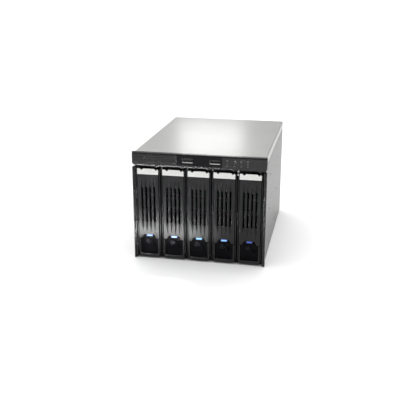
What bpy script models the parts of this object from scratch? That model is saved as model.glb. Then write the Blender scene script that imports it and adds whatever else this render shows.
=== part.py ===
"""Five-bay hot-swap drive cage.

A sheet-metal cage that fills three 5.25 inch bays and holds five upright trays for 3.5 inch drives. +X is to the
right seen from the front, the front faces -Y and +Z is up. The origin is under the middle of the cage. All
lengths are in metres.
"""

import math

import bmesh
import bpy
from mathutils import Matrix, Vector

# Outer sizes.
BODY_WIDTH = 0.146
FRONT_WIDTH = 0.1486
HEIGHT = 0.124
FRONT_Y = -0.100
REAR_Y = 0.100
SHEET = 0.001
GAP = 0.0003  # between pieces that touch
OVERLAP = 0.0003  # how far joined shapes run into each other
OVERCUT = 0.001  # how far a cutter runs past the face it cuts

# Bays. The pitch is a 3.5 inch drive's 26.1 mm and a little air.
BAY_COUNT = 5
BAY_PITCH = 0.0284
BAY_CENTRES = [(bay - (BAY_COUNT - 1) / 2) * BAY_PITCH for bay in range(BAY_COUNT)]
BAY_BORDERS = [centre + BAY_PITCH / 2 for centre in BAY_CENTRES[:-1]]

# Sheet-metal cage.
CHASSIS_FRONT = FRONT_Y + 0.0053
CHASSIS_REAR = REAR_Y - 0.001
JOGGLE_Z = 0.1135
JOGGLE_IN = 0.0012
CHASSIS_TOP = 0.1222
COVER_SHEET = 0.0008
COVER_FRONT = FRONT_Y + 0.0051
COVER_TOP = 0.1234
COVER_FLANGE_Z = 0.1149
COVER_CORNER = 0.0014
COVER_LIP_Z = 0.1175
COVER_LIP = 0.0007
BAY_HOLE_RADIUS = 0.0018
BAY_HOLE_Y = (-0.0476, 0.0316)
BAY_HOLE_Z = (0.0100, 0.0513, 0.0926)

# Front frame and top bar.
STRIP_WIDTH = 0.0033
STRIP_TOP = 0.1072
FRAME_BACK = FRONT_Y + 0.0066
STRIP_BACK = FRONT_Y + 0.0050
CROSSPIECE_Z = (0.1090, 0.1126)
BAR_BOTTOM = 0.1093
BAR_BACK = FRONT_Y + 0.0047
BAR_CHAMFER = 0.0022
TOOTH_TIP = 0.1074
TOOTH_HALF = 0.0023
TOOTH_OFFSET = 0.0100
WINDOW_X = (-0.0239, 0.0258)
WINDOW_Z = (0.1112, 0.1228)
WINDOW_DEPTH = 0.0006
USB_X = (-0.01215, 0.01805)
USB_Z = 0.11685
USB_SIZE = (0.0129, 0.0059)
USB_WALL = 0.00045
USB_BACK_WALL = 0.0015
USB_TONGUE_HALF = 0.00535
USB_TONGUE_SETBACK = 0.0012
USB_TONGUE_Z = (USB_Z - 0.0019, USB_Z - 0.0002)
USB_FRONT = FRONT_Y + 0.0004
USB_DEPTH = 0.0150
LIGHT_X = (0.0313, 0.0392, 0.0462, 0.0535)
LIGHT_Z = 0.1162
LIGHT_RADIUS = 0.00085
LIGHT_HOLE = 0.0011
LIGHT_ROD_Y = (FRONT_Y + 0.0001, -0.0880)
LIGHT_BAR_Y = (-0.0930, -0.0912)
LIGHT_BAR_HALF = 0.0012

# Shelf, guides and boards.
GUIDE_Z = (0.0012, 0.0020)
GUIDE_RIB_TOP = 0.0060
GUIDE_HALF = 0.0714
GUIDE_EDGE = 0.0008
GUIDE_Y = (-0.0900, 0.0620)
RIB_HALF = 0.0005
SHELF_Z = (0.1086, 0.1096)
SHELF_RIB_BOTTOM = 0.1040
SHELF_REAR = 0.0974
PAD_TOP = 0.1117
PAD_HALF = 0.002
PAD_INSET = (0.004, 0.005)
BOARD_X = (-0.0260, 0.0600)
BOARD_Y = (-0.0900, -0.0620)
BOARD_Z = (0.1120, 0.1136)
BACKPLANE_Y = (0.0655, 0.0671)
BACKPLANE_HALF = 0.0705
BACKPLANE_Z = (0.0030, 0.1065)
VENT_X = (-0.0100, 0.0020)
VENT_Z = (0.0550, 0.0980)
SOCKET_X = (0.0055, 0.0110)
SOCKET_Y = (0.0608, 0.0652)
SOCKET_Z = (0.0140, 0.0500)
SOCKET_SLOT_HALF = 0.0012
SOCKET_SLOT_DEPTH = 0.0030
SOCKET_SLOT_END = 0.0015
PORT_X = (0.0385, 0.0535)
PORT_Y = (0.0674, 0.0790)
PORT_MIDDLE = 0.05975
PORT_PITCH = 0.0150
PORT_SIZE = (0.0124, 0.0048)
PORT_DEPTH = 0.0080
PORT_BLOCK_END = 0.0050
POWER_X = (0.0560, 0.0660)
POWER_Z = (0.0280, 0.0920)
POWER_Y = (0.0674, 0.0800)
POWER_POCKET = (0.0070, 0.0190)
POWER_DEPTH = 0.0090

# Back panel and fan.
PANEL_Y = (0.0980, 0.0990)
PANEL_HALF = 0.0704
PANEL_Z = (0.0013, 0.1222)
CABLE_X = (0.0360, 0.0680)
CABLE_Z = (0.0120, 0.1080)
FAN_SIZE = 0.092
FAN_CENTRE = (-0.0220, 0.0615)
FAN_Y = (0.0724, 0.0974)
FAN_BORE = 0.0445
FAN_CORNER = 0.004
FAN_HUB = 0.0180
FAN_STRUT = 0.004
FAN_STRUT_Y = (0.0944, 0.0972)
FAN_STRUT_REACH = FAN_BORE + 0.0008
FAN_MOTOR_Y = (0.0943, 0.0971)
FAN_SCREW_OFFSET = 0.04125
FAN_HOLE = 0.0019
SCREW_SHANK = 0.0014
SCREW_HEAD = 0.0030
SCREW_TIP_Y = FAN_Y[1] - 0.0080
ROTOR_HUB_Y = (0.0730, 0.0938)
ROTOR_Y = sum(FAN_Y) / 2
BLADE_COUNT = 7
BLADE_REACH = (0.0129, 0.0415)
BLADE_SECTION = (0.0014, 0.0170)
BLADE_PITCH = math.radians(38)
BLADE_FORWARD = 0.002
GRILLE_RADIUS = 0.0430
GRILLE_ROW = 0.008
GRILLE_SLOT = 0.005
GRILLE_SPINE = 0.0015

# Tray, in its own bay: x is measured from the bay's centre.
TRAY_HALF = 0.0132
RAIL_BOTTOM = (0.0022, 0.0036)
RAIL_TOP = (0.1055, 0.1070)
RAIL_REAR = 0.0600
WALL_Y = (-0.0932, -0.0912)
WALL_WINDOW_HALF = 0.0080
WALL_WINDOWS = ((0.0420, 0.0575), (0.0605, 0.0725), (0.0755, 0.0880))
FIN_X = (0.0124, 0.0134)
FIN_Z = (0.0075, 0.1053)
FIN_FRONT = -0.0984
POCKET_OUTER = 0.0120
POCKET_INNER = 0.0099
POCKET_FLOOR = 0.0056
POCKET_TOP = 0.0238
POCKET_FRONT = -0.0988
DRIVE_HOLE = 0.0018
DRIVE_HOLE_Y = (-0.0560, 0.0456)
HINGE_Y = -0.0964
HINGE_Z = 0.1026
PIN_RADIUS = 0.0008
PIN_BORE = 0.00095
PIN_HALF = 0.0132

LEVER_HALF = 0.0119
LEVER_Z = (0.0243, 0.0989)
LEVER_Y = (-0.0993, -0.0966)
LEVER_FOOT_HALF = 0.0117
NOTCH_HALF = (0.0080, 0.0056)
NOTCH_TOP = 0.0287
SLOT_COUNT = 4
SLOT_PITCH = 0.0046
SLOT_HALF = 0.0011
SLOT_Z = (0.0440, 0.0845)
KNUCKLE_HALF = 0.0116
KNUCKLE_Y = (-0.0981, -0.0947)
KNUCKLE_Z = (0.0965, 0.1049)

CAP_Z = (0.0992, 0.1058)
CAP_Y = (-0.0999, -0.0984)
CAP_DIMPLE_X = -0.0069
CAP_DIMPLE = 0.0015
CAP_VEE_X = 0.0092
CAP_VEE_HALF = 0.0018
CAP_VEE_DEPTH = 0.0019
CAP_SHOULDER = (0.0008, 0.0020)

LATCH_HALF = 0.0095
LATCH_Z = (0.0062, 0.0236)
LATCH_HEAD_HALF = (0.0074, 0.0050)
LATCH_HEAD_Z = (0.0239, 0.0263)
LATCH_Y = (-0.0974, -0.0954)
LATCH_SLOT_X = (0.0046, 0.0063)
LATCH_SLOT_Z = (0.0158, 0.0230)
LOCK_X = -0.0018
LOCK_Z = 0.0200
LOCK_RADIUS = 0.0032
LOCK_BORE = 0.0035
LOCK_Y = (-0.0978, -0.0952)
KEYWAY = (0.0004, 0.0018, 0.0016)
LENS_HALF = (0.0049, 0.0044)
LENS_Z = (0.0267, 0.0283)
LENS_Y = (-0.0989, -0.0935)

SMALL_SIDES = 8
PIN_SIDES = 12
ROUND_SIDES = 20
FAN_SIDES = 32

# Each finish: colour, roughness, metallic.
FINISHES = {
    "sheet_metal": ((0.62, 0.62, 0.61), 0.38, 0.85),
    "inner_metal": ((0.55, 0.56, 0.57), 0.45, 0.85),
    "bezel_plastic": ((0.022, 0.022, 0.024), 0.42, 0.0),
    "tray_plastic": ((0.016, 0.016, 0.018), 0.45, 0.0),
    "lever_plastic": ((0.050, 0.050, 0.053), 0.36, 0.0),
    "cap_metal": ((0.86, 0.86, 0.86), 0.22, 1.0),
    "latch_plastic": ((0.010, 0.010, 0.011), 0.25, 0.0),
    "lock_metal": ((0.10, 0.10, 0.11), 0.30, 0.8),
    "lens_blue": ((0.35, 0.60, 1.00), 0.20, 0.0),
    "light_pipe_clear": ((0.80, 0.82, 0.84), 0.15, 0.0),
    "steel": ((0.60, 0.60, 0.61), 0.30, 1.0),
    "guide_plastic": ((0.05, 0.05, 0.05), 0.55, 0.0),
    "board_green": ((0.015, 0.11, 0.045), 0.45, 0.0),
    "connector_black": ((0.02, 0.02, 0.02), 0.50, 0.0),
    "power_white": ((0.75, 0.73, 0.68), 0.50, 0.0),
    "fan_plastic": ((0.025, 0.025, 0.027), 0.45, 0.0),
}


# ---------------------------------------------------------------- helpers


def clear_scene():
    for obj in list(bpy.data.objects):
        bpy.data.objects.remove(obj, do_unlink=True)


def new_collection(name):
    collection = bpy.data.collections.new(name)
    bpy.context.scene.collection.children.link(collection)
    return collection


def finish(name):
    """The Principled material of one finish, made once."""
    found = bpy.data.materials.get(name)
    if found:
        return found
    colour, roughness, metallic = FINISHES[name]
    made = bpy.data.materials.new(name)
    made.use_nodes = True
    shader = made.node_tree.nodes["Principled BSDF"]
    shader.inputs["Base Color"].default_value = (*colour, 1.0)
    shader.inputs["Roughness"].default_value = roughness
    shader.inputs["Metallic"].default_value = metallic
    return made


def tool_from(mesh):
    """A helper object: a cutter, or a solid on its way to becoming a part."""
    obj = bpy.data.objects.new("tool", mesh)
    CUTTERS.objects.link(obj)
    obj.hide_render = True
    obj.display_type = "WIRE"
    return obj


def mesh_from(bm):
    bmesh.ops.recalc_face_normals(bm, faces=bm.faces)
    mesh = bpy.data.meshes.new("solid")
    bm.to_mesh(mesh)
    bm.free()
    return mesh


def box(x, y, z):
    """A box between the two values given for each axis."""
    bm = bmesh.new()
    bmesh.ops.create_cube(bm, size=1.0)
    size = Matrix.Diagonal((x[1] - x[0], y[1] - y[0], z[1] - z[0], 1.0))
    middle = Vector((sum(x) / 2, sum(y) / 2, sum(z) / 2))
    bm.transform(Matrix.Translation(middle) @ size)
    return tool_from(mesh_from(bm))


def rod(axis, centre, radius, span, sides):
    """A cylinder along "X" or "Y" over the span. centre is its place in the other two axes."""
    bm = bmesh.new()
    bmesh.ops.create_cone(
        bm, cap_ends=True, segments=sides, radius1=radius, radius2=radius, depth=span[1] - span[0]
    )
    middle = sum(span) / 2
    if axis == "X":
        turn = Matrix.Rotation(math.pi / 2, 4, "Y")
        place = Vector((middle, centre[0], centre[1]))
    else:
        turn = Matrix.Rotation(math.pi / 2, 4, "X")
        place = Vector((centre[0], middle, centre[1]))
    bm.transform(Matrix.Translation(place) @ turn)
    return tool_from(mesh_from(bm))


def plate(loops, y):
    """A flat solid whose outline and holes are loops of (x, z) points, as thick as the span y."""
    curve = bpy.data.curves.new("outline", "CURVE")
    curve.dimensions = "2D"
    curve.fill_mode = "BOTH"
    curve.extrude = (y[1] - y[0]) / 2
    for loop in loops:
        spline = curve.splines.new("POLY")
        spline.points.add(len(loop) - 1)
        for point, (x, z) in zip(spline.points, loop):
            point.co = (x, z, 0.0, 1.0)
        spline.use_cyclic_u = True
    flat = bpy.data.objects.new("outline", curve)
    CUTTERS.objects.link(flat)
    graph = bpy.context.evaluated_depsgraph_get()
    mesh = bpy.data.meshes.new_from_object(flat.evaluated_get(graph))
    bpy.data.objects.remove(flat, do_unlink=True)
    bm = bmesh.new()
    bm.from_mesh(mesh)
    bmesh.ops.remove_doubles(bm, verts=bm.verts, dist=1e-6)
    upright = Matrix.Rotation(math.pi / 2, 4, "X")
    bm.transform(Matrix.Translation((0.0, sum(y) / 2, 0.0)) @ upright)
    return tool_from(mesh_from(bm))


def rectangle(x, z):
    return [(x[0], z[0]), (x[1], z[0]), (x[1], z[1]), (x[0], z[1])]


def circle(centre, radius, sides):
    turns = [2 * math.pi * side / sides for side in range(sides)]
    return [(centre[0] + radius * math.cos(t), centre[1] + radius * math.sin(t)) for t in turns]


def around(centre, half):
    """The span of the given half width about centre."""
    return (centre - half, centre + half)


def boolean(obj, others, operation):
    for other in others:
        step = obj.modifiers.new(operation.lower(), "BOOLEAN")
        step.operation = operation
        step.solver = "EXACT"
        step.use_self = True
        step.object = other
    return obj


def joined(first, *others):
    return boolean(first, others, "UNION")


def cut(obj, *cutters):
    return boolean(obj, cutters, "DIFFERENCE")


def shade(mesh):
    """Round faces smooth, and edges sharper than 35 degrees crisp."""
    mesh.shade_smooth()
    mesh.set_sharp_from_angle(angle=math.radians(35))


def settled(obj, origin=(0.0, 0.0, 0.0)):
    """The finished mesh of a tool, measured from origin. The tool and its cutters are removed."""
    graph = bpy.context.evaluated_depsgraph_get()
    mesh = bpy.data.meshes.new_from_object(obj.evaluated_get(graph))
    used = {step.object for step in obj.modifiers}
    for tool in (*used, obj):
        bpy.data.objects.remove(tool, do_unlink=True)
    mesh.transform(Matrix.Translation(-Vector(origin)))
    shade(mesh)
    return mesh


def part(name, mesh, slot, origin=(0.0, 0.0, 0.0), parent=None):
    """A named node. origin is where the mesh's zero lies in the cage."""
    obj = bpy.data.objects.new(name, mesh)
    PARTS.objects.link(obj)
    if not mesh.materials:
        mesh.materials.append(finish(slot))
    obj.location = origin
    if parent:
        obj.parent = parent
        obj.location = Vector(origin) - parent.matrix_world.translation
    return obj


def fixed(name, tool, slot):
    """A node that stays where it was modelled."""
    return part(name, settled(tool), slot)


def pivot(name, origin, parent=None):
    """An empty on a joint's axis, which the moving pieces hang from."""
    empty = bpy.data.objects.new(name, None)
    empty.empty_display_size = 0.01
    PARTS.objects.link(empty)
    empty.location = origin
    if parent:
        empty.parent = parent
        empty.location = Vector(origin) - parent.matrix_world.translation
    bpy.context.view_layer.update()
    return empty


# ---------------------------------------------------------------- cage


def both_sides(right_half):
    """A symmetric outline from the points of its right half."""
    return right_half + [(-x, z) for x, z in reversed(right_half)]


def make_chassis():
    outer = BODY_WIDTH / 2
    right = [
        (outer, 0.0),
        (outer, JOGGLE_Z),
        (outer - JOGGLE_IN, JOGGLE_Z + SHEET),
        (outer - JOGGLE_IN, CHASSIS_TOP),
        (outer - JOGGLE_IN - SHEET, CHASSIS_TOP),
        (outer - JOGGLE_IN - SHEET, JOGGLE_Z + SHEET / 2),
        (outer - SHEET, JOGGLE_Z - SHEET / 2),
        (outer - SHEET, SHEET),
    ]
    shell = plate([both_sides(right)], (CHASSIS_FRONT, CHASSIS_REAR))
    span = (-outer - OVERCUT, outer + OVERCUT)
    holes = [
        rod("X", (y, z), BAY_HOLE_RADIUS, span, SMALL_SIDES) for y in BAY_HOLE_Y for z in BAY_HOLE_Z
    ]
    fixed("chassis", cut(shell, *holes), "sheet_metal")


def make_top_cover():
    outer = BODY_WIDTH / 2
    inner = outer - COVER_SHEET
    bend = [
        (
            outer - COVER_CORNER + COVER_CORNER * math.sin(turn),
            COVER_TOP - COVER_CORNER + COVER_CORNER * math.cos(turn),
        )
        for turn in (math.pi / 2, math.pi / 3, math.pi / 6, 0.0)
    ]
    right = [(inner, COVER_TOP - COVER_SHEET), (inner, COVER_FLANGE_Z), (outer, COVER_FLANGE_Z), *bend]
    lid = plate([both_sides(right)], (COVER_FRONT, REAR_Y))
    middle = COVER_SHEET / 2
    lip = box(
        around(0.0, inner + middle), (REAR_Y - COVER_LIP, REAR_Y), (COVER_LIP_Z, COVER_TOP - middle)
    )
    fixed("top_cover", joined(lid, lip), "sheet_metal")


def make_front_frame():
    outer = FRONT_WIDTH / 2
    inner = outer - STRIP_WIDTH
    leg = (inner - OVERLAP, BODY_WIDTH / 2 - SHEET - GAP)
    crosspiece = box(around(0.0, leg[1]), (STRIP_BACK, FRAME_BACK), CROSSPIECE_Z)
    pieces = []
    for side in (-1, 1):
        strip_x = sorted((side * inner, side * outer))
        leg_x = sorted((side * leg[0], side * leg[1]))
        leg_z = (SHEET + GAP, CROSSPIECE_Z[1] - OVERLAP)
        pieces.append(box(leg_x, (STRIP_BACK - OVERLAP, FRAME_BACK), leg_z))
        pieces.append(box(strip_x, (FRONT_Y, STRIP_BACK), (0.0, STRIP_TOP)))
    fixed("front_frame", joined(crosspiece, *pieces), "bezel_plastic")


def bar_outline():
    """The bar's face: V teeth hang between the trays, and the lower outer corners are cut off."""
    outer = FRONT_WIDTH / 2
    points = [(-outer, BAR_BOTTOM + BAR_CHAMFER), (-outer + BAR_CHAMFER, BAR_BOTTOM)]
    for centre in BAY_CENTRES:
        tip = centre + TOOTH_OFFSET
        points += [(tip - TOOTH_HALF, BAR_BOTTOM), (tip, TOOTH_TIP), (tip + TOOTH_HALF, BAR_BOTTOM)]
    points += [(outer - BAR_CHAMFER, BAR_BOTTOM), (outer, BAR_BOTTOM + BAR_CHAMFER)]
    return points + [(outer, HEIGHT), (-outer, HEIGHT)]


def make_top_bezel():
    loops = [bar_outline()]
    for centre in USB_X:
        loops.append(
            rectangle(
                around(centre, USB_SIZE[0] / 2 + GAP), around(USB_Z, USB_SIZE[1] / 2 + GAP)
            )
        )
    for centre in LIGHT_X:
        loops.append(circle((centre, LIGHT_Z), LIGHT_HOLE, SMALL_SIDES))
    bar = plate(loops, (FRONT_Y, BAR_BACK))
    recess = box(WINDOW_X, (FRONT_Y - OVERCUT, FRONT_Y + WINDOW_DEPTH), WINDOW_Z)
    fixed("top_bezel", cut(bar, recess), "bezel_plastic")


def make_light_pipe():
    rods = [rod("Y", (x, LIGHT_Z), LIGHT_RADIUS, LIGHT_ROD_Y, SMALL_SIDES) for x in LIGHT_X]
    bar_x = (LIGHT_X[0] - LIGHT_BAR_HALF, LIGHT_X[-1] + LIGHT_BAR_HALF)
    bar = box(bar_x, LIGHT_BAR_Y, around(LIGHT_Z, LIGHT_BAR_HALF))
    fixed("light_pipe", joined(bar, *rods), "light_pipe_clear")


def make_usb_sockets():
    width, height = USB_SIZE
    for name, centre in zip(("usb_socket_left", "usb_socket_right"), USB_X):
        rear = USB_FRONT + USB_DEPTH
        shell = box(around(centre, width / 2), (USB_FRONT, rear), around(USB_Z, height / 2))
        inside = box(
            around(centre, width / 2 - USB_WALL),
            (USB_FRONT - OVERCUT, rear - USB_BACK_WALL),
            around(USB_Z, height / 2 - USB_WALL),
        )
        tongue_y = (USB_FRONT + USB_TONGUE_SETBACK, rear - USB_BACK_WALL / 2)
        tongue = box(around(centre, USB_TONGUE_HALF), tongue_y, USB_TONGUE_Z)
        fixed(name, joined(cut(shell, inside), tongue), "steel")


def rib_outline(middle, root, tip):
    """The four points of one rib, from left to right."""
    left, right = around(middle, RIB_HALF)
    return [(left, root), (left, tip), (right, tip), (right, root)]


def make_shelf_and_guide():
    """Two combs that face each other: the trays' rails run between their ribs."""
    wall = GUIDE_HALF - GUIDE_EDGE
    shelf = [(-GUIDE_HALF, SHELF_Z[1]), (-GUIDE_HALF, SHELF_Z[0])]
    guide = [(-GUIDE_HALF, GUIDE_Z[0]), (-GUIDE_HALF, GUIDE_RIB_TOP)]
    guide += [(-wall, GUIDE_RIB_TOP), (-wall, GUIDE_Z[1])]
    for border in BAY_BORDERS:
        shelf += rib_outline(border, SHELF_Z[0], SHELF_RIB_BOTTOM)
        guide += rib_outline(border, GUIDE_Z[1], GUIDE_RIB_TOP)
    shelf += [(GUIDE_HALF, SHELF_Z[0]), (GUIDE_HALF, SHELF_Z[1])]
    guide += [(wall, GUIDE_Z[1]), (wall, GUIDE_RIB_TOP)]
    guide += [(GUIDE_HALF, GUIDE_RIB_TOP), (GUIDE_HALF, GUIDE_Z[0])]
    fixed("lower_guide", plate([guide], GUIDE_Y), "guide_plastic")
    deck = plate([shelf], GUIDE_Y)
    tail = box(around(0.0, GUIDE_HALF - SHEET), (GUIDE_Y[1] - OVERLAP, SHELF_REAR), SHELF_Z)
    pads = [
        box(around(x, PAD_HALF), around(y, PAD_HALF), (sum(SHELF_Z) / 2, PAD_TOP))
        for x in (BOARD_X[0] + PAD_INSET[0], BOARD_X[1] - PAD_INSET[0])
        for y in (BOARD_Y[0] + PAD_INSET[1], BOARD_Y[1] - PAD_INSET[1])
    ]
    fixed("top_shelf", joined(deck, tail, *pads), "inner_metal")


def make_boards():
    """The control board, and the backplane with a vent for each bay but the one behind the cable sockets."""
    fixed("control_board", box(BOARD_X, BOARD_Y, BOARD_Z), "board_green")
    loops = [rectangle(around(0.0, BACKPLANE_HALF), BACKPLANE_Z)]
    for centre in BAY_CENTRES[:-1]:
        loops.append(rectangle((centre + VENT_X[0], centre + VENT_X[1]), VENT_Z))
    fixed("backplane_pcb", plate(loops, BACKPLANE_Y), "board_green")


def make_drive_connectors():
    body = box(SOCKET_X, SOCKET_Y, SOCKET_Z)
    slot = box(
        around(sum(SOCKET_X) / 2, SOCKET_SLOT_HALF),
        (SOCKET_Y[0] - OVERCUT, SOCKET_Y[0] + SOCKET_SLOT_DEPTH),
        (SOCKET_Z[0] + SOCKET_SLOT_END, SOCKET_Z[1] - SOCKET_SLOT_END),
    )
    mesh = settled(cut(body, slot))
    for number, centre in enumerate(BAY_CENTRES, start=1):
        part(f"drive_connector_{number}", mesh, "connector_black", (centre, 0.0, 0.0))


def make_cable_sockets():
    ports = [PORT_MIDDLE + (row - (BAY_COUNT - 1) / 2) * PORT_PITCH for row in range(BAY_COUNT)]
    block = box(PORT_X, PORT_Y, (ports[0] - PORT_BLOCK_END, ports[-1] + PORT_BLOCK_END))
    middle_x = sum(PORT_X) / 2
    pocket_y = (PORT_Y[1] - PORT_DEPTH, PORT_Y[1] + OVERCUT)
    pockets = [
        box(around(middle_x, PORT_SIZE[0] / 2), pocket_y, around(z, PORT_SIZE[1] / 2)) for z in ports
    ]
    fixed("sata_port_block", cut(block, *pockets), "connector_black")
    body = box(POWER_X, POWER_Y, POWER_Z)
    middle_x = sum(POWER_X) / 2
    quarter = (POWER_Z[1] - POWER_Z[0]) / 4
    pockets = [
        box(
            around(middle_x, POWER_POCKET[0] / 2),
            (POWER_Y[1] - POWER_DEPTH, POWER_Y[1] + OVERCUT),
            around(z, POWER_POCKET[1] / 2),
        )
        for z in (POWER_Z[0] + quarter, POWER_Z[1] - quarter)
    ]
    fixed("power_connector", cut(body, *pockets), "power_white")


# ---------------------------------------------------------------- fan and back panel


def fan_screw_places():
    return [
        (FAN_CENTRE[0] + right * FAN_SCREW_OFFSET, FAN_CENTRE[1] + up * FAN_SCREW_OFFSET)
        for right in (-1, 1)
        for up in (-1, 1)
    ]


def grille_slots():
    """Rows of slots inside the fan's circle, split by an upright spine."""
    rows = int(GRILLE_RADIUS // GRILLE_ROW)
    slots = []
    for row in range(-rows, rows + 1):
        middle = row * GRILLE_ROW
        edge = abs(middle) + GRILLE_SLOT / 2
        reach = math.sqrt(max(GRILLE_RADIUS**2 - edge**2, 0.0))
        z = around(FAN_CENTRE[1] + middle, GRILLE_SLOT / 2)
        slots.append(rectangle((FAN_CENTRE[0] - reach, FAN_CENTRE[0] - GRILLE_SPINE), z))
        slots.append(rectangle((FAN_CENTRE[0] + GRILLE_SPINE, FAN_CENTRE[0] + reach), z))
    return slots


def make_rear_panel():
    loops = [rectangle(around(0.0, PANEL_HALF), PANEL_Z), rectangle(CABLE_X, CABLE_Z)]
    loops += grille_slots()
    loops += [circle(place, FAN_HOLE, SMALL_SIDES) for place in fan_screw_places()]
    fixed("rear_panel", plate(loops, PANEL_Y), "sheet_metal")


def make_fan():
    half = FAN_SIZE / 2
    flat = half - FAN_CORNER
    x, z = FAN_CENTRE
    outline = []
    for right, up in ((1, -1), (1, 1), (-1, 1), (-1, -1)):
        ends = [(x + right * flat, z + up * half), (x + right * half, z + up * flat)]
        outline += ends if right * up < 0 else ends[::-1]
    loops = [outline, circle(FAN_CENTRE, FAN_BORE, FAN_SIDES)]
    loops += [circle(place, FAN_HOLE, SMALL_SIDES) for place in fan_screw_places()]
    frame = plate(loops, FAN_Y)
    level = box(around(x, FAN_STRUT_REACH), FAN_STRUT_Y, around(z, FAN_STRUT / 2))
    upright = box(around(x, FAN_STRUT / 2), FAN_STRUT_Y, around(z, FAN_STRUT_REACH))
    motor = rod("Y", FAN_CENTRE, FAN_HUB, FAN_MOTOR_Y, ROUND_SIDES)
    fixed("fan_frame", joined(frame, level, upright, motor), "fan_plastic")


def blade(number):
    """One pitched blade, reaching from inside the hub to the tip."""
    bm = bmesh.new()
    bmesh.ops.create_cube(bm, size=1.0)
    bm.transform(Matrix.Diagonal((BLADE_REACH[1] - BLADE_REACH[0], *BLADE_SECTION, 1.0)))
    pitch = Matrix.Rotation(BLADE_PITCH, 4, "X")
    outward = Matrix.Translation((sum(BLADE_REACH) / 2, 0.0, 0.0))
    turn = Matrix.Rotation(2 * math.pi * number / BLADE_COUNT, 4, "Y")
    middle = Vector((FAN_CENTRE[0], ROTOR_Y - BLADE_FORWARD, FAN_CENTRE[1]))
    bm.transform(Matrix.Translation(middle) @ turn @ outward @ pitch)
    return tool_from(mesh_from(bm))


def make_rotor():
    hub = rod("Y", FAN_CENTRE, FAN_HUB, ROTOR_HUB_Y, ROUND_SIDES)
    origin = (FAN_CENTRE[0], ROTOR_Y, FAN_CENTRE[1])
    mesh = settled(joined(hub, *(blade(number) for number in range(BLADE_COUNT))), origin)
    part("fan_rotor", mesh, "fan_plastic", origin)


def make_fan_screws():
    head_y = (PANEL_Y[1] + GAP, REAR_Y)
    shank = rod("Y", (0.0, 0.0), SCREW_SHANK, (SCREW_TIP_Y, sum(head_y) / 2), SMALL_SIDES)
    head = rod("Y", (0.0, 0.0), SCREW_HEAD, head_y, PIN_SIDES)
    mesh = settled(joined(head, shank))
    for number, (x, z) in enumerate(fan_screw_places(), start=1):
        part(f"fan_screw_{number}", mesh, "steel", (x, 0.0, z))


# ---------------------------------------------------------------- trays


def carrier_mesh(origin):
    wall_loops = [rectangle(around(0.0, TRAY_HALF), (RAIL_BOTTOM[0], RAIL_TOP[1]))]
    wall_loops += [rectangle(around(0.0, WALL_WINDOW_HALF), z) for z in WALL_WINDOWS]
    wall = plate(wall_loops, WALL_Y)
    outer, inner = POCKET_OUTER, POCKET_INNER
    pocket = plate(
        [
            [
                (-outer, RAIL_BOTTOM[0]),
                (outer, RAIL_BOTTOM[0]),
                (outer, POCKET_TOP),
                (inner, POCKET_TOP),
                (inner, POCKET_FLOOR),
                (-inner, POCKET_FLOOR),
                (-inner, POCKET_TOP),
                (-outer, POCKET_TOP),
            ]
        ],
        (POCKET_FRONT, WALL_Y[0] + OVERLAP),
    )
    fins = [
        box(sorted((side * FIN_X[0], side * FIN_X[1])), (FIN_FRONT, WALL_Y[1] - OVERLAP), FIN_Z)
        for side in (-1, 1)
    ]
    rails = [
        box(around(0.0, TRAY_HALF), (WALL_Y[1] - OVERLAP, RAIL_REAR), z)
        for z in (RAIL_BOTTOM, RAIL_TOP)
    ]
    screw_holes = [drive_hole(y, z) for y in DRIVE_HOLE_Y for z in (RAIL_BOTTOM, RAIL_TOP)]
    bore = rod("X", (HINGE_Y, HINGE_Z), PIN_BORE, around(0.0, FIN_X[1] + OVERCUT), PIN_SIDES)
    return settled(cut(joined(wall, pocket, *fins, *rails), bore, *screw_holes), origin)


def drive_hole(y, z):
    """An upright hole through a rail, for a drive's side screw."""
    bm = bmesh.new()
    bmesh.ops.create_cone(
        bm,
        cap_ends=True,
        segments=SMALL_SIDES,
        radius1=DRIVE_HOLE,
        radius2=DRIVE_HOLE,
        depth=z[1] - z[0] + 2 * OVERCUT,
    )
    bm.transform(Matrix.Translation((0.0, y, sum(z) / 2)))
    return tool_from(mesh_from(bm))


def lever_mesh(origin):
    wide, narrow = NOTCH_HALF
    right = [
        (narrow, NOTCH_TOP),
        (wide, LEVER_Z[0]),
        (LEVER_FOOT_HALF, LEVER_Z[0]),
        (LEVER_HALF, LEVER_Z[1]),
    ]
    loops = [both_sides(right)]
    for slot in range(SLOT_COUNT):
        middle = (slot - (SLOT_COUNT - 1) / 2) * SLOT_PITCH
        loops.append(rectangle(around(middle, SLOT_HALF), SLOT_Z))
    panel = plate(loops, LEVER_Y)
    knuckle = box(around(0.0, KNUCKLE_HALF), KNUCKLE_Y, KNUCKLE_Z)
    bore = rod("X", (HINGE_Y, HINGE_Z), PIN_BORE, around(0.0, LEVER_HALF + OVERCUT), PIN_SIDES)
    return settled(cut(joined(panel, knuckle), bore), origin)


def cap_mesh(origin):
    low, high = CAP_Z
    dimple = [
        (CAP_DIMPLE_X + CAP_DIMPLE * math.cos(turn), high - CAP_DIMPLE * math.sin(turn))
        for turn in (math.pi * step / 6 for step in range(7))
    ]
    outline = [
        (-LEVER_HALF, low),
        (LEVER_HALF, low),
        (LEVER_HALF, high - CAP_SHOULDER[1]),
        (LEVER_HALF - CAP_SHOULDER[0], high),
        (CAP_VEE_X + CAP_VEE_HALF, high),
        (CAP_VEE_X, high - CAP_VEE_DEPTH),
        (CAP_VEE_X - CAP_VEE_HALF, high),
        *dimple,
        (-LEVER_HALF, high),
    ]
    return settled(plate([outline], CAP_Y), origin)


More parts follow.
